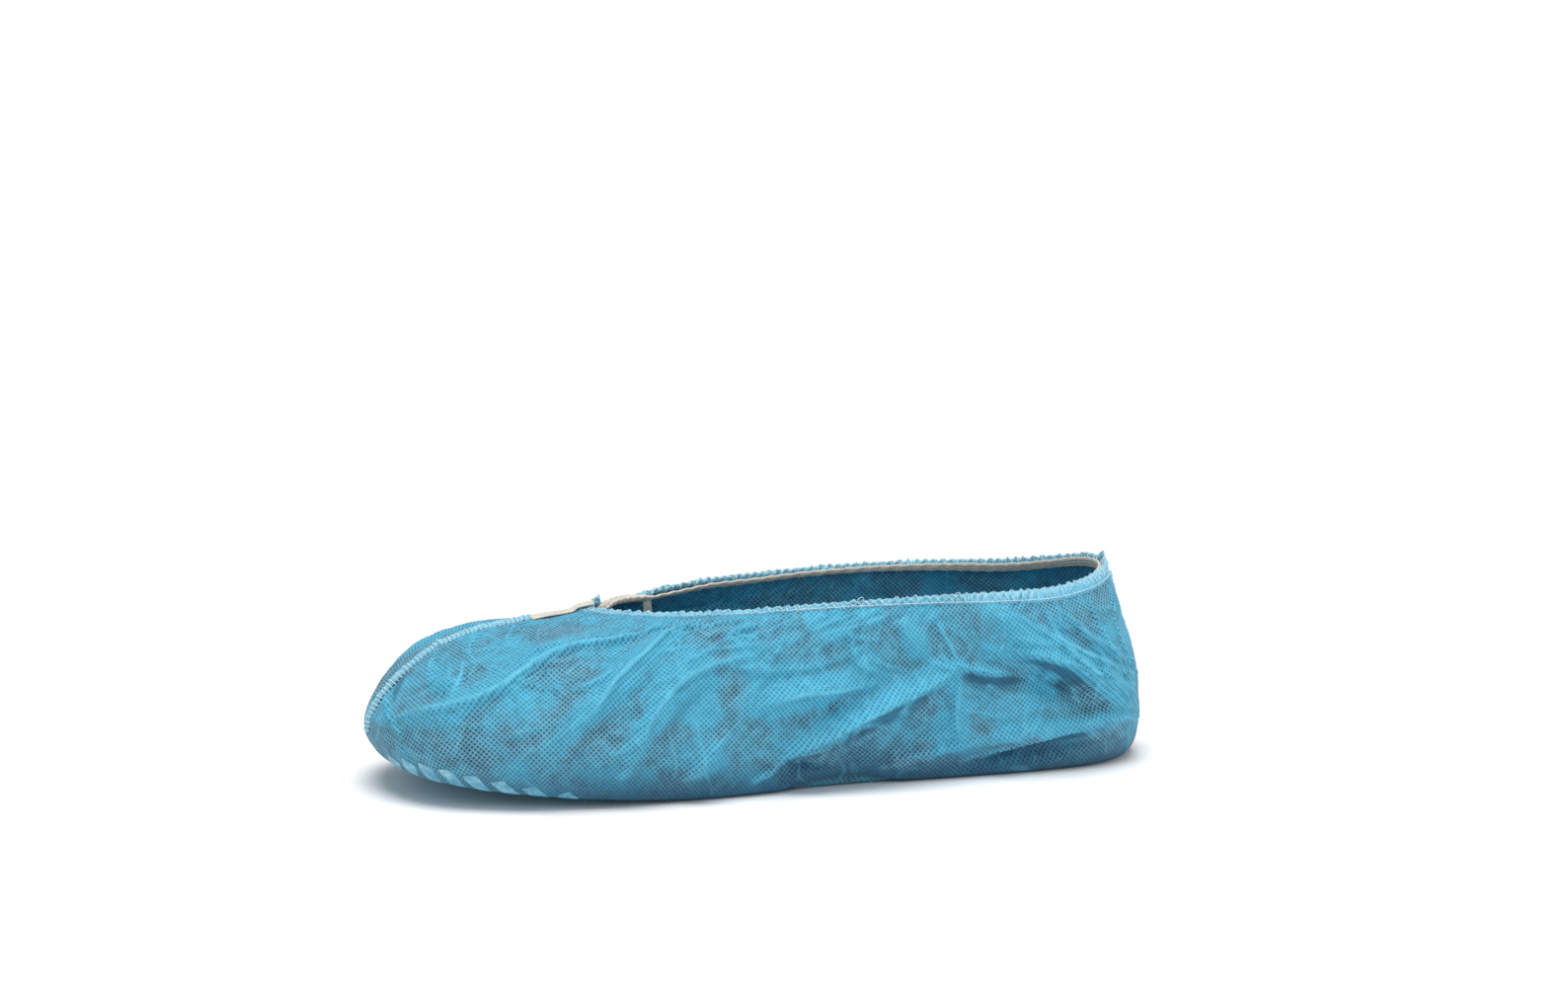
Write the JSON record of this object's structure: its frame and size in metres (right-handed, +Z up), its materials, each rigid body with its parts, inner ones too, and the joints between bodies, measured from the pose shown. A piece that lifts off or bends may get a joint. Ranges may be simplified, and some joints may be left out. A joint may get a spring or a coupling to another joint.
{
  "type": "anti-slip shoe cover",
  "caption": "Disposable nonwoven overshoe with an elastic-gathered opening, overlocked instep and heel seams and an anti-slip printed sole.",
  "frame": {"origin": "middle of the bounding box, on the floor that the sole rests on", "axes": "+X towards the heel, -X towards the toe, -Y the outer side of the left foot, +Z up"},
  "size_m": [0.3126, 0.114, 0.0795],
  "materials": {
    "spunbond_cloth": "blue spunbond polypropylene, embossed, matt",
    "gathered_hem": "the same cloth doubled and gathered, paler",
    "woven_elastic": "cream woven elastic, matt",
    "overlock_thread": "white overlock thread over the cloth's edge",
    "anti_slip_coating": "thin white coating, through which the blue shows"
  },
  "bodies": {
    "root": {"cover_body": "spunbond_cloth", "gathered_hem": "gathered_hem", "elastic_tape": "woven_elastic", "elastic_tail": "woven_elastic", "instep_seam": "overlock_thread", "heel_seam": "overlock_thread", "grip_bar_01": "anti_slip_coating", "grip_bar_02": "anti_slip_coating", "grip_bar_03": "anti_slip_coating", "grip_bar_04": "anti_slip_coating", "grip_bar_05": "anti_slip_coating", "grip_bar_06": "anti_slip_coating", "grip_bar_07": "anti_slip_coating", "grip_bar_08": "anti_slip_coating", "grip_bar_09": "anti_slip_coating", "grip_bar_10": "anti_slip_coating", "grip_bar_11": "anti_slip_coating", "grip_bar_12": "anti_slip_coating", "grip_bar_13": "anti_slip_coating", "grip_bar_14": "anti_slip_coating", "grip_bar_15": "anti_slip_coating", "grip_bar_16": "anti_slip_coating", "grip_bar_17": "anti_slip_coating", "grip_bar_18": "anti_slip_coating", "grip_bar_19": "anti_slip_coating", "grip_bar_20": "anti_slip_coating", "grip_bar_21": "anti_slip_coating", "grip_bar_22": "anti_slip_coating", "grip_bar_23": "anti_slip_coating", "grip_bar_24": "anti_slip_coating", "grip_bar_25": "anti_slip_coating"}
  },
  "joints": []
}
